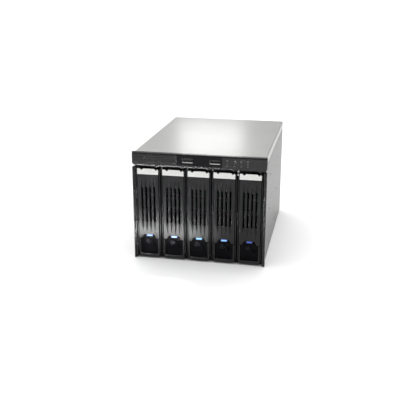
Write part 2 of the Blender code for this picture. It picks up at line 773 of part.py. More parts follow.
def latch_mesh(origin):
    right = [
        (LATCH_HALF, LATCH_Z[0]),
        (LATCH_HALF, LATCH_Z[1]),
        (LATCH_HEAD_HALF[0], LATCH_HEAD_Z[0]),
        (LATCH_HEAD_HALF[1], LATCH_HEAD_Z[1]),
    ]
    bore = circle((LOCK_X, LOCK_Z), LOCK_BORE, ROUND_SIDES)
    loops = [both_sides(right), bore, rectangle(LATCH_SLOT_X, LATCH_SLOT_Z)]
    return settled(plate(loops, LATCH_Y), origin)


def lock_mesh(origin):
    barrel = rod("Y", (LOCK_X, LOCK_Z), LOCK_RADIUS, LOCK_Y, ROUND_SIDES)
    half_width, half_height, depth = KEYWAY
    keyway_y = (LOCK_Y[0] - OVERCUT, LOCK_Y[0] + depth)
    keyway = box(around(LOCK_X, half_width), keyway_y, around(LOCK_Z, half_height))
    return settled(cut(barrel, keyway), origin)


def lens_mesh(origin):
    outline = [
        (-LENS_HALF[0], LENS_Z[0]),
        (LENS_HALF[0], LENS_Z[0]),
        (LENS_HALF[1], LENS_Z[1]),
        (-LENS_HALF[1], LENS_Z[1]),
    ]
    return settled(plate([outline], LENS_Y), origin)


def make_trays():
    """Five trays from shared meshes. Each lever hangs from its pin, and each lock turns in its latch."""
    tray = Vector((0.0, 0.0, 0.0))
    hinge = Vector((0.0, HINGE_Y, HINGE_Z))
    button = Vector((0.0, LATCH_Y[0], LATCH_HEAD_Z[0]))
    barrel = Vector((LOCK_X, LOCK_Y[0], LOCK_Z))
    carrier = carrier_mesh(tray)
    lens = lens_mesh(tray)
    lever = lever_mesh(hinge)
    cap = cap_mesh(hinge)
    pin = settled(rod("X", (HINGE_Y, HINGE_Z), PIN_RADIUS, around(0.0, PIN_HALF), PIN_SIDES), tray)
    latch = latch_mesh(button)
    lock = lock_mesh(barrel)
    for number, centre in enumerate(BAY_CENTRES, start=1):
        shift = Vector((centre, 0.0, 0.0))
        slide = pivot(f"tray_{number}_slide", tray + shift)
        swing = pivot(f"lever_{number}_axis", hinge + shift, slide)
        press = pivot(f"latch_{number}_axis", button + shift, slide)
        turn = pivot(f"lock_{number}_axis", barrel + shift, press)
        part(f"tray_carrier_{number}", carrier, "tray_plastic", tray + shift, slide)
        part(f"status_lens_{number}", lens, "lens_blue", tray + shift, slide)
        part(f"hinge_pin_{number}", pin, "steel", tray + shift, slide)
        part(f"lever_{number}", lever, "lever_plastic", hinge + shift, swing)
        part(f"lever_cap_{number}", cap, "cap_metal", hinge + shift, swing)
        part(f"latch_{number}", latch, "latch_plastic", button + shift, press)
        part(f"lock_{number}", lock, "lock_metal", barrel + shift, turn)


clear_scene()
PARTS = new_collection("drive_cage")
CUTTERS = new_collection("cutters")
make_chassis()
make_top_cover()
make_front_frame()
make_top_bezel()
make_light_pipe()
make_usb_sockets()
make_shelf_and_guide()
make_boards()
make_drive_connectors()
make_cable_sockets()
make_rear_panel()
make_fan()
make_rotor()
make_fan_screws()
make_trays()
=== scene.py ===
"""The looks of the five-bay drive cage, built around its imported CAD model.

Lengths are in metres, in the CAD's frame: +X to the right seen from the front, the front faces -Y, +Z up.
Most visible pieces are detailed meshes that ride on a CAD body and stand for its node. Others are details
of a node, and a few CAD nodes stay and get a better material.
"""

import math

import bmesh
import bpy
from mathutils import Matrix, Vector


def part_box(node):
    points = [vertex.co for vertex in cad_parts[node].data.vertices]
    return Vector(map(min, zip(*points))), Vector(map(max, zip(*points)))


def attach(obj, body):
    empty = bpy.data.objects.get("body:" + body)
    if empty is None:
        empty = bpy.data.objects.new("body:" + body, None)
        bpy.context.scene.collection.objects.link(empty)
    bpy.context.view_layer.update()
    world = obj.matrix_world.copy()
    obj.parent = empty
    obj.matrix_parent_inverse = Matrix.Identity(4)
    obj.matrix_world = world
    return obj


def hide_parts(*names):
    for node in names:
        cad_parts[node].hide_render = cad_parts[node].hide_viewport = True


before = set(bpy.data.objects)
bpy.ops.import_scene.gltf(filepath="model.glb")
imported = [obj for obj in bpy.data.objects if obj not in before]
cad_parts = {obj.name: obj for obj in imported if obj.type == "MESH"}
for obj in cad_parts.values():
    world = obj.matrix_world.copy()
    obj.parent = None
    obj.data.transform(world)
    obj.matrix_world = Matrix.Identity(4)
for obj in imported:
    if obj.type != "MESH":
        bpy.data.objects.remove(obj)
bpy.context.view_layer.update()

BAYS = range(1, 6)

# ---------------------------------------------------------------- places, from the frame


def span(node, axis):
    """The node's lowest and highest value along an axis: 0, 1 or 2."""
    low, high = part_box(node)
    return (low[axis], high[axis])


def middle(node, axis):
    return sum(span(node, axis)) / 2


def about(centre, half):
    return (centre - half, centre + half)


BAY_X = {bay: middle(f"lever_{bay}", 0) for bay in BAYS}
FRONT = span("front_frame", 1)[0]
REAR = span("top_cover", 1)[1]
TOP = span("top_cover", 2)[1]

# ---------------------------------------------------------------- materials


class Nodes:
    """A material's node tree, with short ways to add the nodes that its surface needs."""

    def __init__(self, name, colour, roughness, metallic=0.0, **plain):
        self.material = bpy.data.materials.new(name)
        self.material.use_nodes = True
        self.tree = self.material.node_tree
        self.shader = self.tree.nodes["Principled BSDF"]
        self.set("Base Color", (*colour, 1.0))
        self.set("Roughness", roughness)
        self.set("Metallic", metallic)
        for socket, value in plain.items():
            self.set(socket.replace("_", " "), value)
        self.place = self.tree.nodes.new("ShaderNodeTexCoord").outputs["Object"]
        self.height = None

    def link(self, output, socket):
        self.tree.links.new(output, socket)

    def set(self, socket, value):
        self.shader.inputs[socket].default_value = value

    def noise(self, scale, detail=3.0, stretch=(1.0, 1.0, 1.0), roughness=0.55):
        """Noise with about scale grains to the metre, drawn out where stretch is small."""
        mapping = self.tree.nodes.new("ShaderNodeMapping")
        mapping.inputs["Scale"].default_value = stretch
        self.link(self.place, mapping.inputs["Vector"])
        noise = self.tree.nodes.new("ShaderNodeTexNoise")
        noise.inputs["Scale"].default_value = scale
        noise.inputs["Detail"].default_value = detail
        noise.inputs["Roughness"].default_value = roughness
        self.link(mapping.outputs["Vector"], noise.inputs["Vector"])
        return noise.outputs["Fac"]

    def spread(self, value, low, high):
        """Noise's usual range, 0.3 to 0.7, spread from low to high."""
        node = self.tree.nodes.new("ShaderNodeMapRange")
        node.inputs["From Min"].default_value = 0.3
        node.inputs["From Max"].default_value = 0.7
        node.inputs["To Min"].default_value = low
        node.inputs["To Max"].default_value = high
        self.link(value, node.inputs["Value"])
        return node.outputs["Result"]

    def blend(self, value, first, second):
        """A colour between two, by the value."""
        node = self.tree.nodes.new("ShaderNodeMix")
        node.data_type = "RGBA"
        node.inputs[6].default_value = (*first, 1.0)
        node.inputs[7].default_value = (*second, 1.0)
        self.link(self.spread(value, 0.0, 1.0), node.inputs["Factor"])
        return node.outputs[2]

    def vary_colour(self, value, first, second):
        self.link(self.blend(value, first, second), self.shader.inputs["Base Color"])

    def vary_roughness(self, value, low, high):
        self.link(self.spread(value, low, high), self.shader.inputs["Roughness"])

    def bump(self, value, depth, strength=1.0):
        """Raises the surface by depth metres, on top of any bump it has already."""
        node = self.tree.nodes.new("ShaderNodeBump")
        node.inputs["Strength"].default_value = strength
        node.inputs["Distance"].default_value = depth
        self.link(value, node.inputs["Height"])
        if self.height:
            self.link(self.height, node.inputs["Normal"])
        self.height = node.outputs["Normal"]
        self.link(self.height, self.shader.inputs["Normal"])


def shaded(colour, factor):
    return tuple(channel * factor for channel in colour)


def rolled_sheet(name, colour, roughness):
    """Zinc-plated sheet: a fine grain drawn out along Y, as it was rolled, and faint cloudy patches."""
    surface = Nodes(name, colour, roughness, metallic=1.0)
    clouds = surface.noise(18.0, 4.0)
    grain = surface.noise(1500.0, 2.0, (1.0, 0.12, 1.0))
    surface.vary_colour(clouds, shaded(colour, 0.95), shaded(colour, 1.04))
    surface.vary_roughness(grain, roughness - 0.04, roughness + 0.05)
    surface.bump(grain, 0.000012, 0.5)
    return surface.material


def moulded(name, colour, roughness, grain=2600.0, depth=0.00002, ior=1.46):
    """Moulded plastic: a spark-eroded grain, and a sheen that varies a little from place to place."""
    surface = Nodes(name, colour, roughness, IOR=ior)
    texture = surface.noise(grain, 2.0)
    patches = surface.noise(60.0, 3.0)
    surface.vary_colour(patches, shaded(colour, 0.88), shaded(colour, 1.12))
    surface.vary_roughness(patches, roughness - 0.04, roughness + 0.05)
    surface.bump(texture, depth, 0.6)
    return surface.material


def polished(name, colour, roughness, stretch):
    """Bright metal with fine polishing lines, drawn out where stretch is small."""
    surface = Nodes(name, colour, roughness, metallic=1.0)
    lines = surface.noise(2600.0, 2.0, stretch)
    patches = surface.noise(90.0, 2.0)
    surface.vary_colour(patches, shaded(colour, 0.94), shaded(colour, 1.03))
    surface.vary_roughness(lines, roughness - 0.05, roughness + 0.07)
    surface.bump(lines, 0.000006, 0.5)
    return surface.material


def circuit_board(name):
    """Green solder mask over copper: broad pours and thin upright tracks show through."""
    green = (0.012, 0.100, 0.040)
    surface = Nodes(name, green, 0.32, Coat_Weight=0.4, Coat_Roughness=0.15)
    pours = surface.noise(160.0, 1.0, (1.0, 1.0, 0.35))
    tracks = surface.noise(900.0, 0.0, (1.0, 1.0, 0.04))
    surface.vary_colour(tracks, green, (0.020, 0.150, 0.062))
    surface.vary_roughness(pours, 0.28, 0.42)
    surface.bump(tracks, 0.00003, 0.5)
    surface.bump(pours, 0.00003, 0.4)
    return surface.material


def clear_moulding(name):
    surface = Nodes(name, (0.50, 0.52, 0.55), 0.12, IOR=1.49, Transmission_Weight=0.55)
    flow = surface.noise(400.0, 2.0)
    surface.vary_roughness(flow, 0.08, 0.18)
    surface.bump(flow, 0.00001, 0.4)
    return surface.material


def lit_lens(name, glow, strength):
    """A diffusing lens lit from behind, its glow varying a little from place to place."""
    surface = Nodes(name, shaded(glow, 0.8), 0.25)
    flow = surface.noise(700.0, 2.0)
    surface.vary_roughness(flow, 0.2, 0.32)
    surface.set("Emission Color", (*glow, 1.0))
    power = surface.spread(flow, strength * 0.85, strength * 1.1)
    surface.link(power, surface.shader.inputs["Emission Strength"])
    return surface.material


ALONG_X = (0.06, 1.0, 1.0)
ALONG_Y = (1.0, 0.1, 1.0)
EVEN = (1.0, 1.0, 1.0)

SHEET = rolled_sheet("zinc_sheet", (0.42, 0.42, 0.412), 0.34)
# The chassis is the same zinc sheet with its colour darkened to well under half: painted shade for its sides,
# which face away from the light.
SHADED_SIDE_SHEET = rolled_sheet("chassis_sheet_painted_shade", (0.155, 0.155, 0.153), 0.36)
INNER_SHEET = rolled_sheet("inner_zinc_sheet", (0.56, 0.57, 0.58), 0.42)
BEZEL = moulded("bezel_plastic", (0.008, 0.008, 0.009), 0.26, ior=1.44)
GLOSS = moulded("gloss_window", (0.002, 0.002, 0.003), 0.10, depth=0.000004, ior=1.24)
TRAY = moulded("tray_plastic", (0.005, 0.005, 0.006), 0.32, ior=1.32)
LEVER = moulded("lever_plastic", (0.006, 0.006, 0.007), 0.20, depth=0.00001, ior=1.35)
LATCH = moulded("latch_plastic", (0.002, 0.002, 0.003), 0.18, depth=0.000006, ior=1.14)
GUIDE = moulded("guide_plastic", (0.045, 0.045, 0.047), 0.52)
CONNECTOR = moulded("connector_plastic", (0.020, 0.020, 0.021), 0.42, grain=3500.0)
NYLON = moulded("nylon", (0.74, 0.72, 0.66), 0.46, grain=3500.0)
FAN = moulded("fan_plastic", (0.024, 0.024, 0.026), 0.38)
# Grey for the printed signs over the lights, and for the dashes under them, which are painted highlights.
PRINT_AND_PAINTED_HIGHLIGHT = moulded("printed_marks_and_painted_highlights", (0.20, 0.20, 0.205), 0.5, depth=0.000004)
CAP = polished("polished_cap", (0.62, 0.62, 0.61), 0.22, ALONG_X)
STEEL = polished("bright_steel", (0.66, 0.66, 0.67), 0.26, ALONG_Y)
DARK_STEEL = polished("black_plating", (0.016, 0.016, 0.018), 0.26, EVEN)
GOLD = polished("gold_plating", (0.40, 0.31, 0.17), 0.30, ALONG_Y)
BOARD = circuit_board("circuit_board")
CLEAR = clear_moulding("clear_moulding")

# ---------------------------------------------------------------- shapes
# Every shape is a mesh in the cage's frame. An outline lies square to its axis: it holds (x, z) for Y,
# (x, y) for Z and (y, z) for X.

WELD = 1e-6
OVER = 0.001  # how far a cutter stands clear of the face that it cuts
TURNS = {
    "X": Matrix(((0, 0, 1, 0), (1, 0, 0, 0), (0, 1, 0, 0), (0, 0, 0, 1))),
    "Y": Matrix(((1, 0, 0, 0), (0, 0, -1, 0), (0, 1, 0, 0), (0, 0, 0, 1))),
    "Z": Matrix.Identity(4),
}


def placed(name, data):
    """A new object in the scene."""
    obj = bpy.data.objects.new(name, data)
    bpy.context.scene.collection.objects.link(obj)
    return obj


def evaluated(obj, *helpers):
    """The object's mesh as its modifiers leave it. The object and its helpers are removed."""
    graph = bpy.context.evaluated_depsgraph_get()
    mesh = bpy.data.meshes.new_from_object(obj.evaluated_get(graph))
    for each in (obj, *helpers):
        bpy.data.objects.remove(each, do_unlink=True)
    return mesh


def written(bm):
    mesh = bpy.data.meshes.new("shape")
    bm.to_mesh(mesh)
    bm.free()
    return mesh


def mesh_from(bm):
    """The finished mesh, with its faces outwards: a cutter that is inside out takes nothing away."""
    bmesh.ops.recalc_face_normals(bm, faces=bm.faces)
    if bm.calc_volume(signed=True) < 0:
        bmesh.ops.reverse_faces(bm, faces=bm.faces)
    return written(bm)


def widened(ends, by):
    return (ends[0] - by, ends[1] + by)


def rectangle(first, second):
    return [(first[0], second[0]), (first[1], second[0]), (first[1], second[1]), (first[0], second[1])]


def circle(centre, radius, sides=32):
    turns = [2 * math.pi * side / sides for side in range(sides)]
    return [(centre[0] + radius * math.cos(turn), centre[1] + radius * math.sin(turn)) for turn in turns]


def rounded(points, radius, steps=4, closed=True):
    """The outline with its corners rounded. An open path keeps its two ends."""
    count = len(points)
    smooth = []
    for index, point in enumerate(points):
        here = Vector(point)
        if not closed and index in (0, count - 1):
            smooth.append(tuple(here))
            continue
        before = Vector(points[index - 1]) - here
        after = Vector(points[(index + 1) % count]) - here
        half = before.angle(after) / 2
        reach = min(radius / math.tan(half), before.length * 0.49, after.length * 0.49)
        start = here + before.normalized() * reach
        end = here + after.normalized() * reach
        for step in range(steps + 1):
            t = step / steps
            smooth.append(tuple(start * (1 - t) ** 2 + here * 2 * t * (1 - t) + end * t**2))
    return smooth


def signed_area(loop):
    return sum(a[0] * b[1] - b[0] * a[1] for a, b in zip(loop, loop[1:] + loop[:1])) / 2


def plate(loops, depth, axis="Y", edge=0.0, steps=2):
    """A flat solid over the span depth, with rims rounded by edge. The loops are its outline, then holes."""
    curve = bpy.data.curves.new("outline", "CURVE")
    curve.dimensions = "2D"
    curve.fill_mode = "BOTH"
    curve.extrude = (depth[1] - depth[0]) / 2 - edge
    curve.bevel_depth = edge
    curve.bevel_resolution = steps - 1
    curve.offset = -edge
    for number, loop in enumerate(loops):
        anticlockwise = signed_area(loop) > 0
        ordered = loop if anticlockwise == (number == 0) else loop[::-1]
        spline = curve.splines.new("POLY")
        spline.points.add(len(ordered) - 1)
        for point, (u, v) in zip(spline.points, ordered):
            point.co = (u, v, 0.0, 1.0)
        spline.use_cyclic_u = True
    bm = bmesh.new()
    bm.from_mesh(evaluated(placed("outline", curve)))
    bmesh.ops.remove_doubles(bm, verts=bm.verts, dist=WELD)
    place = [sum(depth) / 2 if each == axis else 0 for each in "XYZ"]
    bm.transform(Matrix.Translation(place) @ TURNS[axis])
    return mesh_from(bm)


def box(x, y, z, edge=0.0, steps=2):
    bm = bmesh.new()
    bmesh.ops.create_cube(bm, size=1.0)
    scale = Matrix.Diagonal((x[1] - x[0], y[1] - y[0], z[1] - z[0], 1.0))
    bm.transform(Matrix.Translation((sum(x) / 2, sum(y) / 2, sum(z) / 2)) @ scale)
    if edge:
        bmesh.ops.bevel(bm, geom=bm.edges[:], offset=edge, segments=steps, profile=0.5, affect="EDGES")
    return mesh_from(bm)


def turned(profile, centre, sides):
    """A solid turned round Y. The profile is (radius, y), and starts and ends on the axis."""
    bm = bmesh.new()
    points = [bm.verts.new((radius, 0.0, along)) for radius, along in profile]
    line = [bm.edges.new(pair) for pair in zip(points, points[1:])]
    bmesh.ops.spin(bm, geom=points + line, cent=(0, 0, 0), axis=(0, 0, 1), angle=2 * math.pi, steps=sides)
    bmesh.ops.remove_doubles(bm, verts=bm.verts, dist=WELD)
    bm.transform(Matrix.Translation(centre) @ Matrix.Rotation(-math.pi / 2, 4, "X"))
    return mesh_from(bm)


def folded(path, thickness, depth, axis="Y", edge=0.0):
    """A folded sheet: the path is its outer side, and the sheet lies to the right of it."""
    inner = []
    for index, point in enumerate(path):
        ahead = Vector(path[min(index + 1, len(path) - 1)]) - Vector(point)
        behind = Vector(point) - Vector(path[max(index - 1, 0)])
        run = (ahead.normalized() + behind.normalized()).normalized()
        side = Vector((run.y, -run.x))
        straight = ahead if ahead.length else behind
        lean = max(abs(side.dot(Vector((straight.y, -straight.x)).normalized())), 0.5)
        inner.append(tuple(Vector(point) + side * thickness / lean))
    return plate([list(path) + inner[::-1]], depth, axis, edge, 1)


def together(*meshes):
    bm = bmesh.new()
    for mesh in meshes:
        bm.from_mesh(mesh)
    return written(bm)


def cut(mesh, *cutters):
    """The mesh with the cutters' shapes taken out."""
    obj = placed("body", mesh)
    tools = [placed("cutter", cutter) for cutter in cutters]
    for tool in tools:
        step = obj.modifiers.new("cut", "BOOLEAN")
        step.operation = "DIFFERENCE"
        step.solver = "EXACT"
        step.use_self = True
        step.object = tool
    return evaluated(obj, *tools)


def moved(mesh, y, z):
    copy = mesh.copy()
    copy.transform(Matrix.Translation((0.0, y, z)))
    return copy


def mirrored(mesh):
    """The mesh and its mirror image across the middle plane."""
    bm = bmesh.new()
    bm.from_mesh(mesh)
    bm.transform(Matrix.Diagonal((-1, 1, 1, 1)))
    bmesh.ops.reverse_faces(bm, faces=bm.faces)
    return together(mesh, written(bm))


def smooth(mesh, corner=40):
    """Rounds shade smooth, corners over so many degrees stay crisp, and the flats stay flat."""
    mesh.shade_smooth()
    mesh.set_sharp_from_angle(angle=math.radians(corner))
    obj = placed("smooth", mesh)
    weigh = obj.modifiers.new("flats", "WEIGHTED_NORMAL")
    weigh.keep_sharp = True
    return evaluated(obj)


def show(name, mesh, body, material, replaces=(), x=0.0):
    """A visible piece on a body. x shifts a shared mesh to its bay."""
    obj = placed(name, mesh)
    if not mesh.materials:
        mesh.materials.append(material)
    obj.location.x = x
    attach(obj, body)
    if replaces:
        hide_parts(*replaces)
    return obj


def keep(node, material, edge=0.0):
    """A CAD node that stays, with its finish and, where edge is given, softened edges."""
    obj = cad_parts[node]
    obj.data.materials.clear()
    obj.data.materials.append(material)
    if edge:
        soften = obj.modifiers.new("edges", "BEVEL")
        soften.width = edge
        soften.segments = 2
        soften.limit_method = "ANGLE"


# ---------------------------------------------------------------- sheet metal

SIDE = span("chassis", 0)[1]
CHASSIS_Y = span("chassis", 1)
CHASSIS_TOP = span("chassis", 2)[1]
SHEET_THICKNESS = 0.0010
JOGGLE_Z = 0.1135
JOGGLE_IN = 0.0012
FOLD_RADIUS = 0.0016
MOUNT_HOLE = 0.0018
MOUNT_HOLE_Y = (-0.0476, 0.0316)
MOUNT_HOLE_Z = (0.0100, 0.0513, 0.0926)
COVER_THICKNESS = 0.0008
COVER_FLANGE_Z = span("top_cover", 2)[0]
COVER_CORNER = 0.0014
COVER_LIP_Z = 0.1175
LIP_TURN = 0.0011


def make_chassis():
    inset = SIDE - JOGGLE_IN
    right = [(inset, CHASSIS_TOP), (inset, JOGGLE_Z + SHEET_THICKNESS), (SIDE, JOGGLE_Z), (SIDE, 0.0)]
    left = [(-x, z) for x, z in reversed(right)]
    path = rounded(right + left, FOLD_RADIUS, 4, closed=False)
    sheet = folded(path, SHEET_THICKNESS, CHASSIS_Y, edge=0.00012)
    drill = plate([circle((0.0, 0.0), MOUNT_HOLE, 20)], about(0.0, SIDE + OVER), "X")
    holes = [moved(drill, y, z) for y in MOUNT_HOLE_Y for z in MOUNT_HOLE_Z]
    mesh = smooth(cut(sheet, together(*holes)))
    # The sheet's colour is darkened: painted shade.
    show("chassis_sheet", mesh, "cage", SHADED_SIDE_SHEET, ["chassis"])


def make_cover():
    """The lid, with its side flanges, and a rear edge that turns down between two corner reliefs."""
    low = COVER_FLANGE_Z
    path = rounded([(SIDE, low), (SIDE, TOP), (-SIDE, TOP), (-SIDE, low)], COVER_CORNER, 5, closed=False)
    depth = (span("top_cover", 1)[0], REAR - LIP_TURN)
    lid = folded(path[::-1], COVER_THICKNESS, depth, edge=0.0001)
    lip_path = [(REAR - LIP_TURN - 0.0002, TOP), (REAR, TOP), (REAR, COVER_LIP_Z)]
    lip_path = rounded(lip_path, LIP_TURN, 5, closed=False)
    lip = folded(lip_path, COVER_THICKNESS, about(0.0, SIDE - 0.0022), "X", 0.0001)
    show("cover_sheet", smooth(together(lid, lip)), "cage", SHEET, ["top_cover"])


# ---------------------------------------------------------------- front frame and bar

STRIP_X = (0.0710, span("front_frame", 0)[1])
STRIP_BACK = FRONT + 0.0050
STRIP_TOP = 0.1072
LEG_BACK = FRONT + 0.0066
BAR_X = span("top_bezel", 0)[1]
BAR_Y = span("top_bezel", 1)
BAR_BOTTOM = 0.1093
BAR_TOP = span("top_bezel", 2)[1]
BAR_CHAMFER = 0.0022
SHADOW_Z = (BAR_TOP - 0.0018, BAR_TOP - 0.0008)
TOOTH_TIP = span("top_bezel", 2)[0]
TOOTH_HALF = 0.0023
TOOTH_OFFSET = 0.0100
LIP = 0.0010
LIP_SLOPE = 0.00027
RIM = 0.0002
LIGHT_HOLE = 0.0008
WINDOW_X = (-0.0239, 0.0258)
WINDOW_Z = (0.1112, 0.1221)
USB = ("usb_socket_left", "usb_socket_right")
USB_X = [middle(node, 0) for node in USB]
USB_Z = middle(USB[0], 2)
USB_HALF = (0.00645, 0.00295)
USB_PITCH = 0.0023
LIGHT_X = (0.0313, 0.0392, 0.0462, 0.0535)
LIGHT_Z = 0.1162
RIB_X = (-0.0722, -0.0262)
RIB_Z = (0.1212, 0.1192, 0.1172, 0.1152)


def make_front_frame():
    """Two side strips with a raised outer edge, their legs and the crosspiece behind the bar."""
    inner, outer = STRIP_X
    outline = [
        (inner, STRIP_BACK),
        (inner, FRONT + 0.0016),
        (inner + 0.0013, FRONT + 0.0016),
        (inner + 0.0017, FRONT),
        (outer, FRONT),
        (outer, STRIP_BACK),
    ]
    strip = plate([rounded(outline, 0.0005, 3)], (0.0, STRIP_TOP), "Z", edge=0.0002)
    leg_x = (inner - 0.0003, SIDE - 0.0013)
    leg = box(leg_x, (STRIP_BACK - 0.0003, LEG_BACK), (0.0013, 0.1123), 0.0002)
    crosspiece = box(about(0.0, leg_x[1]), (STRIP_BACK, LEG_BACK), (0.1090, 0.1126), 0.0002)
    mesh = together(mirrored(together(strip, leg)), crosspiece)
    show("front_frame_moulding", smooth(mesh), "cage", BEZEL, ["front_frame"])


def bar_outline():
    """The bar's face, anticlockwise, with V teeth between the trays and cut-off lower corners."""
    points = [(-BAR_X, BAR_BOTTOM + BAR_CHAMFER), (-BAR_X + BAR_CHAMFER, BAR_BOTTOM)]
    for centre in BAY_X.values():
        tip = centre + TOOTH_OFFSET
        points += [(tip - TOOTH_HALF, BAR_BOTTOM), (tip, TOOTH_TIP), (tip + TOOTH_HALF, BAR_BOTTOM)]
    points += [(BAR_X - BAR_CHAMFER, BAR_BOTTOM), (BAR_X, BAR_BOTTOM + BAR_CHAMFER)]
    return points + [(BAR_X, BAR_TOP), (-BAR_X, BAR_TOP)]


def inset(loop, margins):
    """The loop moved inwards, side by side. margins holds each side's distance, from a point to the next."""
    count = len(loop)
    moved_in = []
    for index in range(count):
        before = (Vector(loop[index]) - Vector(loop[index - 1])).normalized()
        after = (Vector(loop[(index + 1) % count]) - Vector(loop[index])).normalized()
        first, second = Vector((-before.y, before.x)), Vector((-after.y, after.x))
        near, far = margins[index - 1], margins[index]
        across = first.x * second.y - first.y * second.x
        if abs(across) < WELD:
            shift = first * near
        else:
            shift = Vector((near * second.y - far * first.y, far * first.x - near * second.x)) / across
        moved_in.append(tuple(Vector(loop[index]) + shift))
    return moved_in


def faced(loop, margins, depth, slope):
    """A solid over the span depth, whose front rim slopes back by slope within the margins."""
    bm = bmesh.new()
    levels = ((loop, depth[1]), (loop, depth[0] + slope), (inset(loop, margins), depth[0]))
    rings = [[bm.verts.new((x, y, z)) for x, z in points] for points, y in levels]
    for back, front in zip(rings, rings[1:]):
        for index in range(len(loop)):
            after = (index + 1) % len(loop)
            bm.faces.new((back[index], back[after], front[after], front[index]))
    bm.faces.new(rings[0])
    bm.faces.new(rings[-1])
    return mesh_from(bm)


def usb_window(centre, spare):
    wide, high = about(centre, USB_HALF[0] + spare), about(USB_Z, USB_HALF[1] + spare)
    return rounded(rectangle(wide, high), 0.0006, 3)


def make_bar():
    """The bar's lower edge and teeth slope back, and a shadow groove runs under its top edge."""
    outline = bar_outline()
    margins = [LIP] * (len(outline) - 3) + [RIM] * 3
    bar = faced(outline, margins, BAR_Y, LIP_SLOPE)
    before = FRONT - OVER
    through = (before, BAR_Y[1] + OVER)
    shallow = (before, FRONT + 0.0006)
    windows = [plate([usb_window(centre, 0.0003)], through) for centre in USB_X]
    lights = [plate([circle((x, LIGHT_Z), LIGHT_HOLE, 20)], through) for x in LIGHT_X]
    recess = box(WINDOW_X, shallow, WINDOW_Z)
    grooves = [box(RIB_X, shallow, about(z, 0.00035)) for z in RIB_Z]
    shadow = box(about(0.0, BAR_X + OVER), (before, FRONT + 0.0016), SHADOW_Z)
    mesh = cut(bar, *windows, *lights, recess, *grooves, shadow)
    show("bar_moulding", smooth(mesh, 12), "cage", BEZEL, ["top_bezel"])


def make_bar_window():
    """The glossy plate round the USB sockets, and the ledge along its lower edge."""
    inside = rectangle(widened(WINDOW_X, -0.0001), widened(WINDOW_Z, -0.0001))
    windows = [usb_window(centre, -0.0005) for centre in USB_X]
    face = plate([inside, *windows], (FRONT + 0.0003, FRONT + 0.0007), edge=0.0001)
    show("bar_window", smooth(face), "cage", GLOSS)
    ledge_z = (WINDOW_Z[0] - 0.0003, WINDOW_Z[0] + 0.0004)
    ledge = box(WINDOW_X, (FRONT - 0.0001, FRONT + 0.0009), ledge_z, 0.0003, 3)
    show("bar_ledge", smooth(ledge), "cage", BEZEL)


def make_marks():
    """Small generic signs over the lights: a ring, bars, a triangle and a square; and grey dashes under the
    lights, which are painted highlights.
    """
    depth = (FRONT - 0.00003, FRONT + 0.0001)
    high, low = LIGHT_Z + 0.0030, LIGHT_Z - 0.0028
    ring = plate([circle((LIGHT_X[0], high), radius, 20) for radius in (0.0009, 0.0006)], depth)
    bars = [
        plate([rectangle(about(LIGHT_X[1] + shift, 0.0002), (high - 0.0008, high - 0.0002 + rise))], depth)
        for shift, rise in ((-0.0007, 0.0), (0.0, 0.0005), (0.0007, 0.0010))
    ]
    foot = high - 0.0008
    third = LIGHT_X[2]
    triangle = plate([[(third - 0.0010, foot), (third + 0.0010, foot), (third, high + 0.0009)]], depth)
    halves = ((0.0009, 0.0008), (0.0006, 0.0005))
    square = plate([rectangle(about(LIGHT_X[3], wide), about(high, tall)) for wide, tall in halves], depth)
    # The dashes under the lights are painted highlights, not print.
    painted_highlight_dashes = [plate([rectangle(about(x, 0.0010), about(low, 0.00018))], depth) for x in LIGHT_X]
    marks = together(ring, *bars, triangle, square, *painted_highlight_dashes)
    show("bar_marks", marks, "cage", PRINT_AND_PAINTED_HIGHLIGHT)


def make_light_pipe():
    """Four prongs with domed tips, moulded on one bar."""
    front, back = span("light_pipe", 1)
    radius = LIGHT_HOLE - 0.0002
    dome = [(radius * math.sin(t), front + 0.0004 * (1 - math.cos(t))) for t in (0.0, 0.4, 0.8, 1.2, 1.57)]
    profile = [*dome, (radius, back - 0.0002), (0.0, back)]
    prongs = [turned(profile, (x, 0.0, LIGHT_Z), sides=20) for x in LIGHT_X]
    bar_x = (LIGHT_X[0] - 0.0012, LIGHT_X[-1] + 0.0012)
    bar = box(bar_x, (-0.0930, -0.0912), about(LIGHT_Z, 0.0012), 0.0003)
    show("status_prongs", smooth(together(bar, *prongs)), "cage", CLEAR, ["light_pipe"])


def make_usb():
    """Each socket is a drawn steel shell, set back in its window, with a lip and a contact tongue, and a dark
    plastic wall across it that is partly the socket's back and partly painted shade.
    """
    for node, centre in zip(USB, USB_X):
        front, back = span(node, 1)
        mouth = front + 0.0012
        shell = plate([usb_window(centre, 0.0), usb_window(centre, -0.00045)], (mouth, back), edge=0.00008)
        lip_z = (USB_Z - 0.0027, USB_Z - 0.0017)
        lip = box(about(centre, 0.0056), (front + 0.0002, mouth + 0.0003), lip_z, 0.00015)
        show(node.replace("socket", "shell"), smooth(together(shell, lip)), "cage", STEEL, [node])
        tongue_z = (USB_Z + 0.0001, USB_Z + 0.0019)
        tongue = box(about(centre, 0.0053), (mouth + 0.0008, back - 0.001), tongue_z, 0.0002)
        # This dark wall stands for the socket's back, but sits well forward of the tongue's root, where it
        # darkens the inside: in part painted shade.
        wall = plate([usb_window(centre, -0.0005)], (mouth + 0.0045, mouth + 0.0060))
        mesh = smooth(together(tongue, wall))
        show(node.replace("socket", "tongue"), mesh, "cage", CONNECTOR)
        contact_y, contact_z = (mouth + 0.0014, mouth + 0.0040), (USB_Z - 0.0001, USB_Z + 0.0002)
        contacts = [
            box(about(centre + place * USB_PITCH, 0.0005), contact_y, contact_z)
            for place in (-1.5, -0.5, 0.5, 1.5)
        ]
        show(node.replace("socket", "contacts"), together(*contacts), "cage", GOLD)


# ---------------------------------------------------------------- back of the cage

